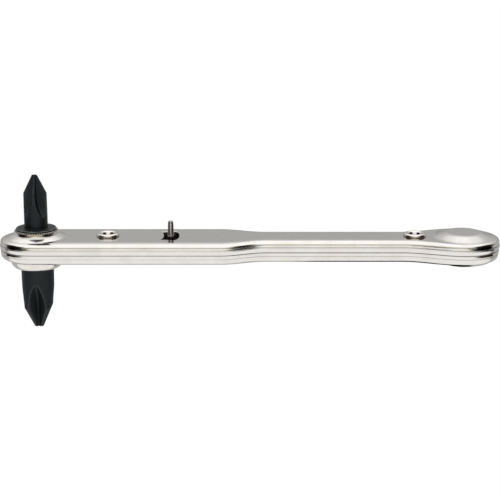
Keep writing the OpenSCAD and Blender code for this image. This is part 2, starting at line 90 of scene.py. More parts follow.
def ease(t: Array) -> Array:
    """Smooth step: 3t^2 - 2t^3 between 0 and 1, flat outside."""
    t = np.clip(t, 0.0, 1.0)
    return t * t * (3 - 2 * t)


def soft_max(a: Array, b: Array, reach: float) -> Array:
    """Larger of a and b with a rounded change-over: half of a + b + root((a - b)^2 + reach^2)."""
    return 0.5 * (a + b + np.sqrt((a - b) ** 2 + reach**2))


def round_corners(path: Array, times: int) -> Array:
    """Cuts the corners of paths along their second last axis.

    Each pass replaces every edge pq by the points 3/4 p + 1/4 q and 1/4 p + 3/4 q and keeps
    the two ends, so a polygon turns into a smooth curve inside its own corners.

    Args:
        path: points, shape (..., count, dimensions).
        times: how many passes.

    Returns:
        The rounded points, with about twice as many points for each pass.
    """
    for _ in range(times):
        p, q = path[..., :-1, :], path[..., 1:, :]
        pairs = np.stack([0.75 * p + 0.25 * q, 0.25 * p + 0.75 * q], axis=-2)
        inner = pairs.reshape(*path.shape[:-2], -1, path.shape[-1])
        path = np.concatenate([path[..., :1, :], inner[..., 1:-1, :], path[..., -1:, :]], axis=-2)
    return path


def soften(profile: Array, radius: float, steps: int = 4) -> Array:
    """Rounds each corner of one profile with a short curve.

    A corner c between neighbours a and b becomes the quadratic curve from c + r(a - c)/|a - c|
    over c to c + r(b - c)/|b - c|, with r the radius or 0.4 of the shorter side.

    Args:
        profile: points, shape (count, 2).
        radius: largest distance from a corner to the ends of its curve.
        steps: points on each curve.

    Returns:
        The rounded profile, with the same two ends.
    """
    before, corner, after = profile[:-2], profile[1:-1], profile[2:]
    back = np.linalg.norm(before - corner, axis=1, keepdims=True)
    ahead = np.linalg.norm(after - corner, axis=1, keepdims=True)
    reach = np.minimum(radius, 0.4 * np.minimum(back, ahead))
    start = (corner + (before - corner) * reach / back)[:, None]
    end = (corner + (after - corner) * reach / ahead)[:, None]
    t = np.linspace(0, 1, steps)[None, :, None]
    curve = start * (1 - t) ** 2 + 2 * corner[:, None] * t * (1 - t) + end * t**2
    return np.concatenate([profile[:1], curve.reshape(-1, 2), profile[-1:]])


def resample(profile: Array, spacing: float) -> Array:
    """Adds points so that no side of a profile is longer than the spacing."""
    sides = np.linalg.norm(np.diff(profile, axis=0), axis=1)
    counts = np.maximum(1, np.ceil(sides / spacing).astype(int))
    at = np.concatenate([i + np.arange(n) / n for i, n in enumerate(counts)] + [[len(counts)]])
    ticks = np.arange(len(profile))
    return np.stack([np.interp(at, ticks, profile[:, k]) for k in (0, 1)], axis=1)


def grid_faces(rows: int, columns: int, closed: bool) -> Array:
    """Four-sided faces of a grid whose points lie row by row.

    Args:
        rows: count of rows.
        columns: count of points in each row.
        closed: whether the last row joins the first one.

    Returns:
        Indices, shape (faces, 4).
    """
    index = np.arange(rows * columns).reshape(rows, columns)
    following = np.roll(index, -1, axis=0) if closed else index[1:]
    here = index if closed else index[:-1]
    corners = [here[:, :-1], following[:, :-1], following[:, 1:], here[:, 1:]]
    return np.stack([c.ravel() for c in corners], axis=1)


def lathe(profile: Array, sides: int, centre: Span = (0, 0)) -> Array:
    """Turns a profile about a vertical line: point (r cos a, r sin a, z) for each angle a.

    Args:
        profile: (radius, height) pairs.
        sides: steps round the full circle.
        centre: X and Y of the line.

    Returns:
        Points, shape (sides, count of the profile, 3).
    """
    angle = np.arange(sides)[:, None] * 2 * pi / sides
    radius, height = profile.T
    x, y = centre[0] + radius * np.cos(angle), centre[1] + radius * np.sin(angle)
    return np.stack([x, y, np.broadcast_to(height, x.shape)], axis=-1)


def keep(mesh: Mesh, name: str, values: Array) -> None:
    """Keeps one number for each point of a mesh as an attribute."""
    layer = mesh.attributes.new(name, "FLOAT", "POINT")
    layer.data.foreach_set("value", values.ravel().astype(np.float32))


def cap(grid: Array, low: list[float], high: list[float]) -> Array:
    """Adds one point before and one after the points of each row, which closes a form."""
    ends = [np.broadcast_to(end, (len(grid), 1, 3)) for end in (low, high)]
    return np.concatenate([ends[0], grid, ends[1]], axis=1)


def add(name: str, data: bpy.types.ID) -> Object:
    """Puts a new object in the scene."""
    made = bpy.data.objects.new(name, data)
    bpy.context.scene.collection.objects.link(made)
    return made


def make_mesh(name: str, grids: list[Array], marks: list[Array] | None = None) -> Object:
    """Makes one object of closed grids, each with its rows joined end to end.

    Equal points are merged, which closes the poles, and the faces are turned outwards.

    Args:
        name: the object's name.
        grids: point arrays, each of shape (rows, columns, 3), in millimetres.
        marks: a number for each point, kept as an attribute of painted shade, painted highlight
            and wear.

    Returns:
        The new object, at the origin, in metres.
    """
    points, faces, start = [], [], 0
    for grid in grids:
        points.append(grid.reshape(-1, 3))
        faces.append(grid_faces(*grid.shape[:2], True) + start)
        start += len(points[-1])
    places = (np.concatenate(points) + [0, 0, LIFT]) * MM
    mesh = bpy.data.meshes.new(name)
    mesh.from_pydata(places, [], np.concatenate(faces))
    if marks is not None:
        # the marks of painted shade, painted highlight and wear
        keep(mesh, "painted_light_and_wear", np.concatenate([m.ravel() for m in marks]))
    tool = bmesh.new()
    tool.from_mesh(mesh)
    bmesh.ops.remove_doubles(tool, verts=tool.verts, dist=MERGE)
    bmesh.ops.dissolve_degenerate(tool, edges=tool.edges, dist=SLIVER)
    bmesh.ops.recalc_face_normals(tool, faces=tool.faces)
    tool.to_mesh(mesh)
    tool.free()
    shade(mesh)
    return add(name, mesh)


def shade(mesh: Mesh) -> None:
    """Shades a mesh smooth, apart from its sharp edges."""
    mesh.shade_smooth()
    mesh.set_sharp_from_angle(angle=radians(SHARP))


def cut_away(piece: Object, cutter: Object) -> None:
    """Cuts the room of a closed object out of a piece and removes that object."""
    change = piece.modifiers.new("opening", "BOOLEAN")
    change.operation, change.solver, change.object = "DIFFERENCE", "EXACT", cutter
    bpy.context.view_layer.update()
    result = piece.evaluated_get(bpy.context.evaluated_depsgraph_get())
    mesh = bpy.data.meshes.new_from_object(result)
    piece.modifiers.clear()
    old, piece.data = piece.data, mesh
    bpy.data.meshes.remove(old)
    bpy.data.objects.remove(cutter)
    shade(mesh)


# Shader expressions


class Signal:
    """A socket that can be used in arithmetic: each operator adds a Math node."""

    def __init__(self, board: "Board", socket: bpy.types.NodeSocket) -> None:
        """Keeps the board that the node stands on and the socket."""
        self.board, self.socket = board, socket

    def _join(self, operation: str, first: object, second: object) -> "Signal":
        """Adds one Math node for the operation on two values."""
        return self.board.node("Math", {0: first, 1: second}, operation=operation)[0]

    def __add__(self, other: object) -> "Signal":
        """Sum."""
        return self._join("ADD", self, other)

    def __sub__(self, other: object) -> "Signal":
        """Difference."""
        return self._join("SUBTRACT", self, other)

    def __rsub__(self, other: object) -> "Signal":
        """Difference from a number."""
        return self._join("SUBTRACT", other, self)

    def __mul__(self, other: object) -> "Signal":
        """Product."""
        return self._join("MULTIPLY", self, other)

    __radd__ = __add__
    __rmul__ = __mul__

    def between(self, low: float, high: float) -> "Signal":
        """A smooth change from 0 at the low value to 1 at the high one."""
        values = {0: self, 1: low, 2: high}
        return self.board.node("MapRange", values, interpolation_type="SMOOTHSTEP")[0]


class Board:
    """The node tree of one material."""

    def __init__(self, name: str) -> None:
        """Starts a material that has only its output."""
        self.material = bpy.data.materials.new(name)
        self.material.use_nodes = True
        self.tree = self.material.node_tree
        self.tree.nodes.clear()
        self.out = self.tree.nodes.new("ShaderNodeOutputMaterial")

    def node(self, kind: str, values: dict | None = None, **settings: object) -> list[Signal]:
        """Adds any node.

        Args:
            kind: the node's type, without the word ShaderNode before it.
            values: numbers, colours or signals for its sockets, by name or place.
            settings: its own settings, set first.

        Returns:
            Its outputs as signals.
        """
        made = self.tree.nodes.new("ShaderNode" + kind)
        for key, value in settings.items():
            setattr(made, key, value)
        for key, value in (values or {}).items():
            socket = made.inputs[key]
            if isinstance(value, Signal):
                self.tree.links.new(value.socket, socket)
            elif isinstance(value, tuple) and socket.type == "RGBA":
                socket.default_value = (*value, 1.0)
            else:
                socket.default_value = value
        return [Signal(self, s) for s in made.outputs]

    def place(self, stretch: Triple = (1, 1, 1)) -> Signal:
        """Object coordinates, stretched along the axes."""
        spot = self.node("TexCoord")[3]
        return self.node("Mapping", {"Vector": spot, "Scale": stretch})[0]

    def noise(self, scale: float, detail: float = 2.0, stretch: tuple = (1, 1, 1)) -> Signal:
        """Noise between 0 and 1 with features of about one over the scale, in metres."""
        values = {"Vector": self.place(stretch), "Scale": scale, "Detail": detail}
        return self.node("TexNoise", values)[0]

    def mark(self, name: str) -> Signal:
        """A number that the mesh keeps for each point."""
        return self.node("Attribute", attribute_name=name)[2]

    def mix(self, share: Signal, first: object, second: object) -> Signal:
        """A colour between two colours."""
        return self.node("Mix", {0: share, 6: first, 7: second}, data_type="RGBA")[2]

    def bump(self, height: Signal, strength: float, distance: float) -> Signal:
        """Surface normals from a height."""
        values = {"Strength": strength, "Distance": distance, "Height": height}
        return self.node("Bump", values)[0]

    def light(self, colour: object, strength: object) -> Signal:
        """A shader that gives off light."""
        return self.node("Emission", {"Color": colour, "Strength": strength})[0]

    def blend(self, share: Signal, first: Signal, second: Signal) -> Signal:
        """A shader between two shaders."""
        return self.node("MixShader", {0: share, 1: first, 2: second})[0]

    def show(self, surface: Signal) -> Material:
        """Joins a shader to the output."""
        self.tree.links.new(surface.socket, self.out.inputs["Surface"])
        return self.material

    def finish(self, values: dict[str, object]) -> Material:
        """Adds the Principled shader with its values and joins it to the output."""
        return self.show(self.node("BsdfPrincipled", values)[0])


# Finishes


@dataclass(frozen=True)
class NickelPlate:
    """Bright nickel plate over pressed steel, with painted shade in its grooves, recesses and
    inside.
    """

    colour: Colour = (0.80, 0.775, 0.74)
    worn: Colour = (0.70, 0.66, 0.61)
    # colour of the painted shade in grooves, recesses and inside
    painted_light_and_wear: Colour = (0.13, 0.085, 0.06)
    rough: float = 0.09

    def build(self, name: str) -> Material:
        """Makes the material: cloudy plate, fine grain along the body, and painted shade in
        grooves.
        """
        board = Board(name)
        cloud = board.noise(260, 3).between(0.3, 0.75)
        grain = board.noise(5200, 3, (0.12, 1, 1))
        specks = board.noise(3600, 2).between(0.66, 0.8)
        # painted shade: the mark darkens grooves, recesses and the inside, with some noise
        painted_shade = board.mark("painted_light_and_wear") * (0.55 + 0.75 * board.noise(1500, 3))
        colour = board.mix(0.45 * cloud + 0.12 * specks, self.colour, self.worn)
        colour = board.mix(painted_shade, colour, self.painted_light_and_wear)
        height = grain + 0.35 * board.noise(1400, 2)
        return board.finish({
            "Base Color": colour,
            "Metallic": 1.0,
            "Roughness": self.rough + 0.07 * cloud + 0.06 * grain + 0.4 * painted_shade,
            "Normal": board.bump(height, 0.16, 0.00003),
        })


@dataclass(frozen=True)
class BlackOxide:
    """Black oxide on hardened steel: dark, satin, lighter on worn edges with painted highlights,
    with painted shade in flutes.
    """

    colour: Colour = (0.023, 0.029, 0.032)
    # lighter colour of worn edges with their painted highlight, and of the specks
    wear_and_glint: Colour = (0.42, 0.42, 0.41)
    # colour of the painted shade in the flutes
    recess_shade: Colour = (0.010, 0.012, 0.013)
    rough: float = 0.42

    def build(self, name: str) -> Material:
        """Makes the material: mottled black with small lighter specks.

        The mark is above 0 on worn edges, where it also paints a highlight, and falls to -1 in the
        flutes, where it paints shade.
        """
        board = Board(name)
        mottle = board.noise(700, 3)
        speck = board.noise(2600, 1).between(0.74, 0.8)
        # worn flute edges with a painted highlight, and a painted highlight on the flange's rim
        edge = board.mark("painted_light_and_wear") * (0.35 + 0.65 * board.noise(1800, 2).between(0.35, 0.7))
        colour = board.mix(edge + 0.3 * speck, self.colour, self.wear_and_glint)
        # painted shade in the flutes
        colour = board.mix(board.mark("painted_light_and_wear").between(0.0, -1.0), colour, self.recess_shade)
        height = board.noise(4200, 3) + 0.5 * mottle
        return board.finish({
            "Base Color": colour,
            "Metallic": 0.75,
            "Roughness": self.rough + 0.12 * mottle,
            "Normal": board.bump(height, 0.3, 0.00003),
        })


@dataclass(frozen=True)
class TurnedMetal:
    """Plain machined metal of the inner pieces."""

    colour: Colour
    stain: Colour
    rough: float
    grain: float = 3000

    def build(self, name: str) -> Material:
        """Makes the material: machining grain and a slight stain."""
        board = Board(name)
        stain = board.noise(500, 3).between(0.4, 0.8)
        grain = board.noise(self.grain, 2, (1, 1, 0.25))
        return board.finish({
            "Base Color": board.mix(0.6 * stain, self.colour, self.stain),
            "Metallic": 1.0,
            "Roughness": self.rough + 0.1 * stain + 0.08 * grain,
            "Normal": board.bump(grain, 0.2, 0.00002),
        })


RECIPES = {
    Slot.NICKEL: NickelPlate(),
    Slot.BLACK: BlackOxide(),
    Slot.STEEL: TurnedMetal((0.48, 0.48, 0.48), (0.36, 0.34, 0.32), 0.16),
    Slot.SPRING: TurnedMetal((0.22, 0.25, 0.32), (0.20, 0.16, 0.14), 0.3),
    Slot.BRONZE: TurnedMetal((0.62, 0.42, 0.2), (0.38, 0.22, 0.1), 0.4, 4200),
}


@cache
def finish(slot: Slot) -> Material:
    """The material of a record slot, made the first time it is asked for."""
    return RECIPES[slot].build(slot.value)


def dress(piece: Object, slot: Slot, body: Body | None = None, stands_for: str = "") -> None:
    """Gives a piece its finish and, for a new piece, its body and the CAD node it replaces.

    Args:
        piece: the object to dress.
        slot: the record slot of its finish.
        body: the body that a new piece rides on.
        stands_for: the CAD node that a new piece replaces.
    """
    piece.data.materials.clear()
    piece.data.materials.append(finish(slot))
    if body is not None:
        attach(piece, body.value)
        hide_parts(stands_for)
    log.info("%s: %s, %d faces", piece.name, slot.value, len(piece.data.polygons))


# Body


@dataclass(frozen=True)
class Plan:
    """Outline of the body: widths along X, with a round head and a round bulb."""

    head_r: float = 9.3
    grip_w: float = 6.0
    bulb_r: float = 9.7
    bulb_x: float = 107.9
    neck: Span = (46.8, 58.0)
    flare_x: float = 92.5
    head_shoulder: float = 2.9
    grip_shoulder: float = 2.1
    bulb_shoulder: float = 1.3
    bulb_flat: float = 4.7
    bulb_long: float = 1.05
    bulb_shift: float = 0.4
    bulb_rise: float = 1.06
    bulb_slope: float = 19.0
    cone_x: Span = (84.5, 90.5)  # where the cone of the bulb comes in
    cone_rounds: Span = (0.4, 0.12)  # at the oval's edge and at the cone's foot
    cone_lifts: Span = (0.03, 0.01)  # what these roundings would add
    sag: float = 0.12  # how far the plate lies lower beside the bulb
    sag_from: float = 0.45  # share of the way to the bulb where that begins
    fans: tuple[int, int] = (31, 37)  # directions round the head and the bulb
    runs: tuple[int, ...] = (25, 29, 13, 29)  # stations from the head to the bulb

    def along(self, x: Array, head: float, grip: float, bulb: float) -> Array:
        """A size that eases from the head's value over the grip's to the bulb's."""
        front = head + (grip - head) * ease((x - self.neck[0]) / (self.neck[1] - self.neck[0]))
        rear = grip + (bulb - grip) * ease((x - self.flare_x) / (self.bulb_x - self.flare_x))
        return np.where(x <= self.neck[1], front, rear)

    def half_width(self, x: Array) -> Array:
        """Half the width of the body at x."""
        return self.along(x, self.head_r, self.grip_w, self.bulb_r)

    def shoulder(self, x: Array) -> Array:
        """Width of the rounded shoulder at x."""
        return self.along(x, self.head_shoulder, self.grip_shoulder, self.bulb_shoulder)

    def drop(self, x: Array) -> Array:
        """How far the plate beside the bulb lies below the flat."""
        way = (x - self.flare_x) / (self.bulb_x - self.flare_x)
        return self.sag * ease((way - self.sag_from) / (1 - self.sag_from))

    def stations(self) -> tuple[Array, Array]:
        """Centres along X and directions of all cross-sections, once round the body.

        The head and the bulb are fans of directions about one centre, and between them the
        sections stand square to the body. The far side is the near side mirrored.
        """
        head = np.linspace(pi, pi / 2, self.fans[0])
        bulb = np.linspace(pi / 2, 0, self.fans[1])
        runs = [
            np.linspace(0, self.neck[0], self.runs[0])[1:-1],
            np.linspace(*self.neck, self.runs[1]),
            np.linspace(self.neck[1], self.flare_x, self.runs[2])[1:-1],
            np.linspace(self.flare_x, self.bulb_x, self.runs[3])[:-1],
        ]
        straight = np.concatenate(runs)
        x = np.concatenate([np.zeros(len(head)), straight, np.full(len(bulb), self.bulb_x)])
        a = np.concatenate([head, np.full(len(straight), pi / 2), bulb])
        return np.concatenate([x, x[-2:0:-1]]), np.concatenate([a, -a[-2:0:-1]])


@dataclass(frozen=True)
class Half:
    """One pressed half of the body. Heights count from the parting plane outwards."""

    depth: float
    lip: float
    side: int  # +1 upper, -1 lower
    groove: float = 0.75
    step: float = 0.15
    wall: float = 0.9
    edge: float = 0.16
    inset: float = 0.0
    lean: float = 0.0
    rise: float = 0.0
    seam: float = 0.03  # half of the gap at the parting line
    inside: tuple[float, ...] = (0.95, 1.0, 1.1, 1.45)  # insets of the wall's inner side
    rows: tuple[int, int] = (27, 7)  # points over the crown, outside and inside
    shares: Triple = (0.4, 0.6, 0.7)  # painted shade: all, grip, both ends
    grip_x: Span = (44.0, 54.0)  # where the grip's painted shade comes in
    band: float = 0.6  # painted shade in a groove
    inside_shade: float = 0.8  # painted shade inside
    probe: float = 0.2  # step over which the crown's lean is measured
    plan: Plan = Plan()

    @property
    def start(self) -> Span:
        """Inset and height of the shoulder's lower end."""
        return self.step + 0.03, self.lip + self.groove

    def crown(self, x: Array, y: Array, depth: float) -> Array:
        """Height of the top: the flat of the body, rounded into the cone of the bulb.

        The cone falls by the tangent of its slope beyond an oval flat on the bulb, which is
        wider across the body than along it. Both its edges are rounded.
        """
        plan = self.plan
        flat = depth - plan.drop(x)
        past = np.hypot((x - plan.bulb_x - plan.bulb_shift) * plan.bulb_long, y) - plan.bulb_flat
        fall = soft_max(past, np.zeros_like(past), plan.cone_rounds[0]) - plan.cone_lifts[0]
        cone = depth + plan.bulb_rise + self.rise - tan(radians(plan.bulb_slope)) * fall
        near = ease((x - plan.cone_x[0]) / (plan.cone_x[1] - plan.cone_x[0]))
        both = soft_max(flat, cone, plan.cone_rounds[1]) - plan.cone_lifts[1]
        return flat * (1 - near) + near * both

    def section(self, x: Array, a: Array) -> tuple[Array, Array]:
        """Insets and heights of the outer side, from the parting plane to the crown's edge.

        The lip leans out a little, steps in, leaves an upright groove and turns over the
        shoulder, a quarter of an ellipse whose end leans as the crown does there. All of it
        is set in and leans in with the height, and its corners are rounded.

        Args:
            x: centres of the stations along X.
            a: directions of the stations.

        Returns:
            Insets and heights, each of shape (stations, points).
        """
        shoulder = self.plan.shoulder(x)[:, None]
        edge = self.plan.half_width(x) - self.plan.shoulder(x)
        top = self.crown(x + edge * np.cos(a), edge * np.sin(a), self.depth)
        inner = edge - self.probe
        rise = self.crown(x + inner * np.cos(a), inner * np.sin(a), self.depth) - top
        tilt = rise / self.probe
        start, low = self.start
        turn = np.linspace(0, pi / 2, 11)
        foot = self.edge - 0.04
        lip = np.array([
            [0.40, self.seam], [self.edge + foot, self.seam], [foot, 0.07],
            [foot, self.edge], [0, self.lip - 0.2], [0.02, self.lip - 0.08],
            [self.step * 0.8, self.lip], [self.step, self.lip + 0.12],
            [start - 0.01, low - 0.14],
        ])
        over_in = start + (shoulder - start) * (1 - np.cos(turn))
        lean = tilt[:, None] * (shoulder - over_in) * np.sin(turn) ** 3
        over_up = low + (top[:, None] - low) * np.sin(turn) - lean
        ones = np.ones_like(shoulder)
        inset = np.concatenate([ones * lip[:, 0], over_in], axis=1)
        height = np.concatenate([ones * lip[:, 1], over_up], axis=1)
        inset = inset + self.inset + self.lean * height
        path = round_corners(np.stack([inset, height], axis=-1), 2)
        return path[..., 0], path[..., 1]

    def skin(self) -> tuple[Array, Array]:
        """Points of the whole half, outside and inside, and how much painted shade each point has.

        A section runs from the centre line over the crown and the outer side to the parting
        plane, and back one wall further in. Point (distance from the centre line, height)
        is carried to each station by its direction.

        Returns:
            The grid of points, shape (stations, points, 3), and the marks of the same grid.
        """
        x, a = self.plan.stations()
        inset, height = self.section(x, a)
        width = self.plan.half_width(x)[:, None]
        centre, c, s = x[:, None], np.cos(a)[:, None], np.sin(a)[:, None]
        reach = (width - inset[:, -1:]) * np.linspace(0, 1, self.rows[0])[:-1]
        crown = self.crown(centre + reach * c, reach * s, self.depth)
        back = width - np.array(self.inside)
        back_up = np.array([self.seam, self.lip, self.depth - 1.5, self.depth - 1.0])
        back_up = back_up - self.plan.drop(centre) * [0, 0, 1, 1]
        last = back[:, -1:] * np.linspace(1, 0, self.rows[1])[1:]
        roof = self.crown(centre + last * c, last * s, self.depth - self.wall)
        rows = np.concatenate([reach, (width - inset)[:, ::-1], back, last], axis=1)
        ups = np.concatenate([crown, height[:, ::-1], back_up, roof], axis=1)
        points = np.stack([centre + rows * c, rows * s, ups * self.side], axis=-1)
        grip = ease((x - self.grip_x[0]) / (self.grip_x[1] - self.grip_x[0]))
        share = self.shares[0] + self.shares[1] * grip + self.shares[2] * np.abs(np.cos(a))
        return points, self.painted_shade(share, ups, reach.shape[1], inset.shape[1])

    def painted_shade(self, share: Array, ups: Array, crown: int, outer: int) -> Array:
        """Painted shade of each point: narrow dark bands in the parting line and the groove, and
        the inside.

        Each band falls off as exp(-(distance / width)^2) of the height from its groove, times
        the share of its station, which is large on the grip and round both ends.
        """
        marks = np.zeros_like(ups)
        side = ups[:, crown : crown + outer]
        # dark bands of painted shade at the parting line and in the groove
        bands = ((0.0, 0.12), (self.lip + 0.08, 0.09))
        total = sum(self.band * np.exp(-(((side - c) / w) ** 2)) for c, w in bands)
        marks[:, crown : crown + outer] = np.clip(total * share[:, None], 0, 1)
        # painted shade over the whole inside
        marks[:, crown + outer :] = self.inside_shade
        return marks


@dataclass(frozen=True)
class PressedBody:
    """The two pressed shells with their collars and the slot."""

    plan: Plan = Plan()
    upper: Half = Half(depth=FLAT, lip=1.2, side=1)
    lower: Half = Half(
        depth=2.85, lip=0.9, side=-1, step=0.04, edge=0.1, inset=0.12, lean=0.1, rise=0.2
    )
    collar_r: float = 5.6
    flare_r: float = 7.7
    flare_power: float = 1.1
    collar_top: float = 4.48
    collar_band: float = 0.78
    collar_low: float = 2.2
    lower_r: float = 4.95
    bowl_r: float = 6.68
    lower_end: float = 5.2
    lower_mouth: float = 4.25
    spare: float = 0.3  # how much wider the plate's bore is than the collar's
    bore_z: Span = (0.5, 6.0)
    sides: int = 160
    slot_reach: float = 16.15
    slot_w: float = 3.9
    slot_ends: Span = (-16.5, 17.4)
    slot_bevel: Span = (0.1, 0.2)  # half height and width of its broken edge

    def upper_collar(self) -> Array:
        """The raised collar: an upright band over a hollow curve that runs out on the flat.

        Over the flat and the ellipse of the shoulder, the curve falls from the band as a
        power of what is left of its way outwards, and its end dips into the plate.
        """
        top, low = self.collar_top, self.collar_top - self.collar_band
        out, upper, shoulder = self.flare_r, self.upper, self.plan.head_shoulder
        s = np.linspace(0.04, 1, 22)
        r = self.collar_r + (out - self.collar_r) * s
        start, foot = upper.start
        over = np.maximum(r - self.plan.head_r + shoulder, 0) / (shoulder - start)
        plate = foot + (upper.depth - foot) * np.sqrt(1 - over**2)
        rest = (low - upper.depth) * (1 - s) ** self.flare_power + 0.012 - 0.035 * s**6
        flare = np.stack([r, plate + rest], axis=1)
        band = [
            [BUSH_R, self.collar_low], [BUSH_R, top - 0.08],
            [BUSH_R + 0.08, top], [self.collar_r - 0.14, top],
            [self.collar_r - 0.04, top - 0.03], [self.collar_r, top - 0.12],
            [self.collar_r, low + 0.03], [self.collar_r + 0.03, low],
        ]
        end = [[out, self.collar_low + 0.1], [BUSH_R, self.collar_low]]
        return lathe(np.concatenate([band, flare, end]), self.sides)

    def lower_collar(self) -> Array:
        """The lower collar: a bowl that narrows to its mouth, with a rounded end.

        Its outside is a small hollow at the root and then a quarter of an ellipse to the mouth.
        """
        out, depth, end = self.bowl_r + 0.52, self.lower.depth, self.lower_end
        s = np.linspace(0.12, 1, 24) * pi / 2
        root = [
            [out, depth - 0.3], [out, depth - 0.02],
            [self.bowl_r + 0.27, depth + 0.05], [self.bowl_r + 0.08, depth + 0.15],
        ]
        r = self.lower_r + (self.bowl_r - self.lower_r) * np.cos(s)
        curve = np.stack([r, depth + (end - 0.12 - depth) * np.sin(s)], axis=1)
        rim = [
            [self.lower_r - 0.05, end - 0.04], [self.lower_r - 0.15, end],
            [self.lower_mouth + 0.12, end], [self.lower_mouth, end - 0.12],
            [self.lower_mouth, 2.0], [out - 0.3, 1.85],
        ]
        profile = np.concatenate([root, curve, rim, root[:1]])
        return lathe(profile * [1, -1], self.sides)

    def slot_outline(self, spread: float) -> Array:
        """Points of the slot's outline, widened by the spread.

        The slot is an arc about the front rivet. Its outer side is drawn in by 0.5 mm and
        0.03 radians towards its corners, and all its corners are rounded.
        """
        inner = self.slot_reach - self.slot_w / 2 - spread
        outer = self.slot_reach + self.slot_w / 2 + spread
        low, high = radians(self.slot_ends[0]), radians(self.slot_ends[1])
        wide = spread / outer - 0.03
        outside = np.linspace(low - wide, high + wide, 12)
        inside = np.linspace(high + spread / inner, low - spread / inner, 12)
        a = np.concatenate([outside, inside])
        r = np.concatenate([outer - 0.5 * np.abs(np.linspace(-1, 1, 12)) ** 5, np.full(12, inner)])
        ring = np.stack([PIVOT_X + r * np.cos(a), r * np.sin(a)], axis=1)
        middle = (ring[0] + ring[-1])[None] / 2
        return round_corners(np.concatenate([middle, ring, middle]), 2)[:-1]

    def slot_cutter(self) -> Object:
        """The room of the slot, wider at the top so that its edge is slightly broken."""
        up, wide = self.slot_bevel
        levels = ((1.2, 0.0), (self.upper.depth - up, 0.0), (self.upper.depth + up, wide))
        rings = []
        for height, spread in levels:
            flat = self.slot_outline(spread)
            rings.append(np.column_stack([flat, np.full(len(flat), height)]))
        x = PIVOT_X + self.slot_reach
        ends = [[x, 0, levels[0][0]], [x, 0, levels[-1][0]]]
        return make_mesh("slot_cutter", [cap(np.stack(rings, axis=1), *ends)])

    def bore_cutter(self, radius: float, low: float, high: float) -> Object:
        """A round bar about the spindle's axis."""
        profile = np.array([[0, low], [radius, low], [radius, high], [0, high]])
        return make_mesh("bore_cutter", [lathe(profile, 96)])

    def press(self, node: str, half: Half, collar: Array, cutters: list[Object]) -> None:
        """Makes one shell of its plate, less the cutters, and its collar.

        Args:
            node: the CAD node that the shell replaces.
            half: the form of the plate.
            collar: the points of the collar.
            cutters: objects whose room is cut out of the plate.
        """
        skin, marks = half.skin()
        shell = make_mesh(f"{node}_plate", [skin], [marks])
        for cutter in cutters:
            cut_away(shell, cutter)
        ring = make_mesh("collar", [collar], [np.zeros(collar.shape[:2])])
        chosen = {"active_object": shell, "selected_editable_objects": [shell, ring]}
        with bpy.context.temp_override(**chosen):
            bpy.ops.object.join()
        dress(shell, Slot.NICKEL, Body.BODY, node)

    def build(self) -> None:
        """Makes both shells."""
        low, high = self.bore_z
        bore = self.bore_cutter(BUSH_R + self.spare, low, high)
        self.press("upper_shell", self.upper, self.upper_collar(), [self.slot_cutter(), bore])
        bore = self.bore_cutter(self.lower_mouth + self.spare, -high, -low)
        self.press("lower_shell", self.lower, self.lower_collar(), [bore])


@dataclass(frozen=True)
class RolledRivets:
    """The two semi-tubular rivets, rolled outwards over the upper shell."""

    places: Span = (PIVOT_X, 96.0)
    top: float = FLAT
    bottom: float = 2.7
    shank_r: float = 2.05
    rolled_r: float = 2.9
    rolled_h: float = 0.85
    crest_r: float = 2.28
    mouth_r: float = 1.72
    throat_r: float = 1.3
    head_r: float = 2.6
    head_h: float = 0.4
    sides: int = 96

    def profile(self) -> Array:
        """Half section of a rivet, from the lower head over the rolled rim into the hollow."""
        low, top, high = -self.bottom, self.top, self.top + self.rolled_h
        head = [
            [0, low - self.head_h], [self.head_r * 0.6, low - self.head_h],
            [self.head_r * 0.9, low - self.head_h * 0.75],
            [self.head_r, low - self.head_h * 0.3],
            [self.head_r, low + 0.05], [self.shank_r, low + 0.05],
        ]
        rolled = [
            [self.shank_r, top - 0.05], [self.rolled_r, top - 0.05], [self.rolled_r, top + 0.06],
            [self.rolled_r - 0.03, top + 0.5], [self.rolled_r - 0.24, high - 0.12],
            [self.crest_r + 0.08, high], [self.crest_r - 0.12, high - 0.02],
            [self.mouth_r, high - 0.2], [self.throat_r + 0.16, top + 0.1],
            [self.throat_r, top - 0.5], [self.throat_r, top - 2.1], [0, top - 2.2],
        ]
        return soften(np.array(head + rolled), 0.2, 6)

    def painted_shade(self, profile: Array) -> Array:
        """Painted shade at the foot of the rolled rim, over 0.12 mm of height, and far down in the
        hollow.
        """
        r, z = profile.T
        # painted shade in the crease at the foot of the rim
        foot = np.exp(-(((z - self.top) / 0.12) ** 2)) * (r > 2.2)
        # painted shade within the hollow
        recess_shade = ease((self.top - 0.2 - z) / 0.5) * (r < 2)
        return np.broadcast_to(np.clip(foot + recess_shade, 0, 1), (self.sides, len(profile)))

    def build(self) -> None:
        """Makes both rivets as one piece."""
        profile = self.profile()
        grids = [lathe(profile, self.sides, (x, 0)) for x in self.places]
        marks = [self.painted_shade(profile) for _ in self.places]
        dress(make_mesh("rolled_rivets", grids, marks), Slot.NICKEL, Body.BODY, "rivets")


# Spindle


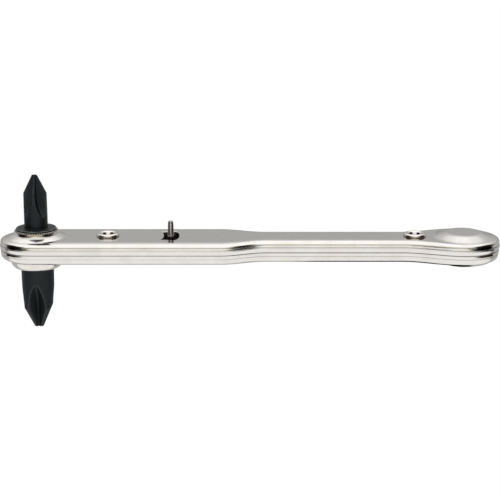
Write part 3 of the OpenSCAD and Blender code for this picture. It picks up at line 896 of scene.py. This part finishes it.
@dataclass(frozen=True)
class Point:
    """One cross point of the spindle. Distances count from its tip."""

    reach: float
    side: int
    tip_r: float
    point_r: float
    angle: float
    shank_r: float
    core_r: float
    flute_len: float
    wheel_r: float
    turn: float
    half_flute: float
    tilt: float = 2.5

    @property
    def cone_z(self) -> float:
        """Height over the parting plane where the cone starts."""
        long = (self.point_r - self.tip_r) / tan(radians(self.angle))
        return self.side * (self.reach - long)

    def flutes(self, z: Array) -> tuple[Array, Array]:
        """The flutes' bottom line and half angle, as the milling wheel leaves them.

        The bottom leans outwards by the tilt t over the straight length L. From there it is
        the wheel's circle: c - root(R^2 - (d - e)^2), with d the distance from the tip,
        c = core + R cos t + L sin t and e = L cos t - R sin t. The wheel stands askew there by
        s, with cos s = root(R^2 - (d - e)^2) / R, which narrows the half angle to
        atan(tan(half angle) cos s).

        Args:
            z: heights over the parting plane.

        Returns:
            The distance of the bottom from the axis, and the half angle in radians.
        """
        away = self.reach - z * self.side
        t, length, wheel = radians(self.tilt), self.flute_len, self.wheel_r
        centre = self.core_r + wheel * cos(t) + length * sin(t)
        start = length * cos(t) - wheel * sin(t)
        rise = np.sqrt(np.maximum(wheel**2 - (away - start) ** 2, 0.01))
        straight = away < length * cos(t)
        bottom = np.where(straight, self.core_r + away * tan(t), centre - rise)
        lean = np.where(straight, 1.0, rise / wheel)
        return bottom, np.arctan(tan(radians(self.half_flute)) * lean)


@dataclass(frozen=True)
class Spindle:
    """The black double-ended spindle."""

    large: Point = Point(
        reach=LIFT, side=-1, tip_r=1.24, point_r=4.03, angle=28.0, shank_r=4.15,
        core_r=0.69, flute_len=3.9, wheel_r=12.5, turn=-91.5, half_flute=44.0,
    )
    small: Point = Point(
        reach=18.75, side=1, tip_r=0.64, point_r=2.94, angle=26.4, shank_r=2.97,
        core_r=0.36, flute_len=6.1, wheel_r=6.2, turn=-46.0, half_flute=48.0,
    )
    bottom_turn: float = 0.2  # radians
    edge_span: Span = (4.0, 44.0)  # directions kept for a flute's edge, degrees
    edge_round: float = 0.04
    edge_wear_and_highlight: float = 0.14  # wear and painted highlight of a flute's edge
    journal_r: float = 4.2
    journal_z: float = -4.55
    large_shank_z: Span = (-5.23, -4.6)
    small_shank_z: float = 7.65
    flange_r: float = 5.1
    flange_z: float = 4.76
    flange_t: float = 0.40
    corner_r: float = 0.14
    spacing: float = 0.16

    def profile(self) -> Array:
        """Radius and height of the plain turned form, from the large tip to the small one."""
        large, small, top = self.large, self.small, self.flange_z + self.flange_t
        turned = [
            [large.tip_r, -large.reach], [large.point_r, large.cone_z],
            [large.shank_r, self.large_shank_z[0]], [large.shank_r, self.large_shank_z[1]],
            [self.journal_r, self.journal_z], [self.journal_r, self.flange_z],
            [self.flange_r, self.flange_z], [self.flange_r, top], [small.shank_r, top],
            [small.shank_r, self.small_shank_z], [small.point_r, small.cone_z],
            [small.tip_r, small.reach],
        ]
        return resample(soften(np.array(turned), self.corner_r, 5), self.spacing)

    def fluted(self, profile: Array) -> tuple[Array, Array]:
        """Carries the profile round the axis and cuts the flutes of both points.

        Across a flute the radius is c sin(b - q) / sin(b - root(p^2 + q^2)), with c the
        distance of the flute's bottom, b its half angle, p the angle from its middle and q a
        small angle that rounds the bottom. The smaller of this and the turned radius counts,
        with the edge slightly rounded. Columns crowd at the edge, which lies at
        p = root((b - asin(c sin(b - q) / R))^2 - q^2).

        Args:
            profile: radius and height of the turned form.

        Returns:
            The grid of points, shape (columns, rows, 3), and marks: above 0 near an edge, wear
            with a painted highlight, and on the flange's rim, a painted highlight; down to -1
            inside a flute, painted shade.
        """
        radius, z = profile.T
        lower = z < 0
        low_core, low_b = self.large.flutes(z)
        high_core, high_b = self.small.flutes(z)
        core, b = np.where(lower, low_core, high_core), np.where(lower, low_b, high_b)
        turn = np.radians(np.where(lower, self.large.turn, self.small.turn))
        q = self.bottom_turn
        wide = core * np.sin(np.maximum(b - q, 0.05))
        inside = np.clip(wide / radius, -1, 1)
        edge = np.sqrt(np.maximum((b - np.arcsin(inside)) ** 2 - q**2, 0))
        edge = np.clip(edge, *np.radians(self.edge_span))
        u = np.sin(np.linspace(0, pi / 2, 9))[:-1, None]
        v = 1 - np.cos(np.linspace(0, pi / 2, 8))[:, None]
        half = np.concatenate([edge * u, edge + (pi / 4 - edge) * v])
        sector = np.concatenate([half, pi / 2 - half[-2:0:-1]])
        spread = np.where(sector > pi / 4, pi / 2 - sector, sector)
        flute = wide / np.maximum(np.sin(b - np.sqrt(spread**2 + q**2)), 1e-3)
        r = np.tile(-soft_max(-radius, -flute, self.edge_round), (4, 1))
        cut = core < radius
        # wear on a flute's edge, with a painted highlight
        near = self.edge_wear_and_highlight * np.exp(-(((spread - edge) / 0.05) ** 2)) * cut
        # painted shade inside the flute
        near = near - ease((edge - spread) / 0.1) * cut * ease((radius - core) / 0.5)
        # painted highlight along the flange's top edge
        rim = np.hypot(radius - self.flange_r + 0.05, z - self.flange_z - self.flange_t + 0.05)
        near = np.maximum(near, np.exp(-((rim / 0.09) ** 2)))
        a = np.concatenate([sector + turn + k * pi / 2 for k in range(4)])
        grid = np.stack([r * np.cos(a), r * np.sin(a), np.broadcast_to(z, r.shape)], axis=-1)
        return grid, np.tile(near, (4, 1))

    def build(self) -> None:
        """Makes the spindle and dresses it."""
        grid, near = self.fluted(self.profile())
        grid = cap(grid, [0, 0, -self.large.reach], [0, 0, self.small.reach])
        near = np.pad(near, ((0, 0), (1, 1)))
        dress(make_mesh("spindle_bar", [grid], [near]), Slot.BLACK, Body.SPINDLE, "bit")


@dataclass(frozen=True)
class SerratedRim:
    """The bush in the upper collar, whose rim has small bright beads all round."""

    bore_r: float = 4.23
    rim_r: float = 5.42
    low: float = 2.05
    collar_top: float = 4.46
    rim_t: float = 0.27
    beads: int = 54
    bead_depth: float = 0.35
    bead_power: float = 0.7
    gap_power: float = 0.35
    bead_steps: int = 8

    def build(self) -> None:
        """Makes the bush: its rim is drawn in by depth (1 - |cos(beads a / 2)|^power)."""
        seat, top, rim = self.collar_top, self.collar_top + self.rim_t, self.rim_r
        profile = np.array([
            [self.bore_r, self.low], [BUSH_R, self.low], [BUSH_R, seat],
            [rim - 0.1, seat], [rim, seat + 0.1], [rim, top - 0.1], [rim - 0.1, top],
            [self.bore_r, top], [self.bore_r, self.low],
        ])
        sides = self.beads * self.bead_steps
        angle = np.arange(sides)[:, None] * 2 * pi / sides
        wave = 1 - np.abs(np.cos(angle * self.beads / 2)) ** self.bead_power
        outer = np.where(profile[:, 0] > rim - 0.2, 1.0, 0.0)
        drop = (wave * outer * self.bead_depth / rim)[..., None] * [1, 1, 0]
        grid = lathe(profile, sides) * (1 - drop)
        # painted shade in the gaps between the beads
        gap_shade = wave**self.gap_power * outer
        dress(make_mesh("bush_rim", [grid], [gap_shade]), Slot.NICKEL, Body.BODY, "upper_bush")


@dataclass(frozen=True)
class ReversingPin:
    """The small pin in the slot: slightly drawn in towards its domed top."""

    x: float = 34.1
    radius: float = 0.86
    low: float = -1.17
    top: float = 6.95
    shoulder: float = FLAT

    def build(self) -> None:
        """Makes the pin."""
        r, top = self.radius, self.top
        profile = np.array([
            [0, self.low], [r, self.low], [r, self.shoulder], [r - 0.07, self.shoulder + 0.4],
            [r - 0.16, top - 0.55], [r - 0.24, top - 0.22], [r - 0.46, top - 0.04], [0, top],
        ])
        grid = lathe(resample(soften(profile, 0.25, 5), 0.3), 48, (self.x, 0))
        dress(make_mesh("pin_skin", [grid]), Slot.STEEL, Body.REVERSER, "reversing_pin")


INNER = {
    Slot.STEEL: (
        "ratchet_gear", "drive_keys", "upper_thrust_washer", "lower_thrust_washer",
        "pivot_bush", "pivot_washer", "spring_posts", "rear_spacer",
    ),
    Slot.SPRING: ("friction_washer", "retaining_ring", "detent_leaf"),
    Slot.BLACK: ("rocker_pawl",),
    Slot.BRONZE: ("lower_bush",),
}


# Studio


@dataclass(frozen=True)
class Studio:
    """Camera, floor and a cloth tent that lights the tool from all round.

    Angles are in degrees from the camera's side and above the floor.
    """

    aim: Triple = (54.2, 0.0, 19.98)
    distance: float = 381.7
    elevation: float = 14.5
    lens: float = 108.0
    sensor: float = 36.0
    floor_z: float = -45.0
    floor_half: float = 2400.0
    tent_r: float = 2.5  # metres
    front: Span = (45.0, 30.0)  # side and top of the dim part
    opening: Triple = (39.0, 114.0, 56.0)  # sides and top
    front_loss: float = 0.52
    opening_loss: float = 0.985
    back: float = 112.0  # side where the cloth begins
    cloth: float = 0.44  # its light, and below where it rises, over how far and how much
    cloth_rises: tuple[Triple, ...] = ((15.0, 9.0, 0.17), (29.0, 12.0, 0.39))
    roof: Triple = (42.0, 12.0, 0.25)  # where it begins, over how far and its light
    yellow: Colour = (1.0, 0.93, 0.7)
    bench_x: Span = (-0.168, 0.264)  # metres, as are the next two
    bench_y: float = 0.045
    # where the painted shadow under the tool runs along X
    strip_x: Span = (0.065, 0.12)
    blur: float = 0.012  # width of the bench's edges along X
    fade: float = 0.03  # and along Y

    def camera(self) -> None:
        """Sets the camera at the photograph's angle, looking along +Y and down."""
        data = bpy.data.cameras.new("camera")
        data.lens, data.sensor_width = self.lens, self.sensor
        data.clip_start, data.clip_end = 0.01, 20
        eye = add("camera", data)
        tilt = radians(self.elevation)
        back = Vector((0, -cos(tilt), sin(tilt)))
        eye.location = (Vector(self.aim) + back * self.distance) * MM
        eye.rotation_euler = (-back).to_track_quat("-Z", "Y").to_euler()
        bpy.context.scene.camera = eye

    def glow(self, azimuth: Array, height: Array) -> tuple[Array, Array]:
        """Light of the tent by direction.

        White overhead, dim and yellowish behind the camera, grey cloth at the back, and two
        dark openings at the sides.

        Args:
            azimuth: directions from the camera's side.
            height: directions above the floor, of the same shape.

        Returns:
            The light, and how yellowish it is, each for every direction.
        """
        off = np.abs(azimuth)
        behind = ease((off - self.back) / 6)
        cloth = self.cloth
        for start, run, more in self.cloth_rises:
            cloth = cloth + more * ease((height - start) / run)
        cloth = cloth * (0.6 + 0.4 * ease((height - 4) / 3))
        front = ease((self.front[0] - off) / 6) * ease((self.front[1] - height) / 10)
        low, high, top = self.opening
        dark = ease((off - low) / 4) * ease((high - off) / 4) * ease((top - height) / 8)
        wall = (1 - behind) * (1 - self.front_loss * front) + behind * cloth
        start, run, more = self.roof
        roof = more * ease((height - start) / run)
        tint = ease((34 - height) / 10) * ease((118 - off) / 6)
        return wall * (1 - self.opening_loss * dark) + roof, tint

    def tent(self) -> None:
        """Makes the tent: a dome whose points carry its light, white to the camera itself."""
        columns, rows = 241, 121
        azimuth = np.linspace(-180, 180, columns)[:, None]
        height = np.linspace(-30, 90, rows)[None]
        a, h = np.radians(azimuth), np.radians(height)
        points = np.stack(
            [np.sin(a) * np.cos(h), -np.cos(a) * np.cos(h), np.sin(h) + 0 * a], axis=-1
        )
        mesh = bpy.data.meshes.new("tent")
        faces = grid_faces(columns, rows, False)
        mesh.from_pydata((points * self.tent_r).reshape(-1, 3), [], faces)
        glow, tint = self.glow(azimuth + 0 * height, height + 0 * azimuth)
        keep(mesh, "glow", glow)
        keep(mesh, "tint", tint)
        board = Board("tent_cloth")
        seen = board.node("LightPath")[0]
        tone = board.mix(board.mark("tint"), (1.0, 1.0, 1.0), self.yellow)
        light = board.light(tone, board.mark("glow"))
        surface = board.blend(seen, light, board.light((1, 1, 1), 1.0))
        self.place("tent", mesh, board.show(surface))

    def floor(self) -> None:
        """Makes the pale floor.

        In the tool's mirror images it is a white sheet with a dark bench at both sides that
        ends a little behind the tool. Behind the tool it is half dark, with a narrow dark band: a
        painted shadow of the tool.
        """
        size, z = self.floor_half * MM, self.floor_z * MM
        mesh = bpy.data.meshes.new("floor")
        corners = [(-size, -size, z), (size, -size, z), (size, size, z), (-size, size, z)]
        mesh.from_pydata(corners, [], [(0, 1, 2, 3)])
        board = Board("floor_paper")
        path = board.node("LightPath")
        tone = board.mix(0.2 * board.noise(40, 2), (0.86, 0.86, 0.86), (0.82, 0.82, 0.82))
        plain = board.node("BsdfDiffuse", {"Color": tone})[0]
        share = 0.82 * (path[0] + path[3] + path[6]).between(0, 1)
        sheet = board.blend(share, plain, board.light((1, 1, 1), 1.1))
        x, y, _ = board.node("SeparateXYZ", {0: board.place()})
        left, right = self.bench_x
        bench = x.between(right, right + self.blur) + (1 - x.between(left - self.blur, left))
        bench = bench * (1 - y.between(self.bench_y, self.bench_y + self.fade))
        start, end = self.strip_x
        # painted shadow of the tool on the floor, seen only in reflections
        painted_shadow_band = y.between(0.004, 0.012) * (x - 0.7 * y).between(0.0, self.blur)
        painted_shadow_band = painted_shadow_band * x.between(start, start + 0.015) * (1 - x.between(end, end + 0.01))
        dark = path[3] * (painted_shadow_band + 0.5 * y.between(0.0, self.fade) + bench)
        surface = board.blend(dark, sheet, board.light((0, 0, 0), 1.0))
        self.place("floor", mesh, board.show(surface))

    def place(self, name: str, mesh: Mesh, material: Material) -> None:
        """Puts a stage piece in the scene with its material."""
        mesh.materials.append(material)
        add(name, mesh)

    def build(self) -> None:
        """Sets up the camera, the floor, the tent and the view."""
        self.camera()
        self.tent()
        self.floor()
        scene = bpy.context.scene
        scene.view_settings.view_transform = "Standard"
        scene.world = scene.world or bpy.data.worlds.new("world")
        scene.world.use_nodes = True
        back = scene.world.node_tree.nodes.get("Background")
        back.inputs["Color"].default_value = (1, 1, 1, 1)
        back.inputs["Strength"].default_value = 1.0


def main() -> None:
    """Builds every piece in order."""
    logging.basicConfig(level=logging.INFO, format="%(message)s")
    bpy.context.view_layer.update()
    Studio().build()
    PressedBody().build()
    RolledRivets().build()
    Spindle().build()
    SerratedRim().build()
    ReversingPin().build()
    for slot, nodes in INNER.items():
        for node in nodes:
            dress(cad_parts[node], slot)


if __name__ == "__main__":
    main()
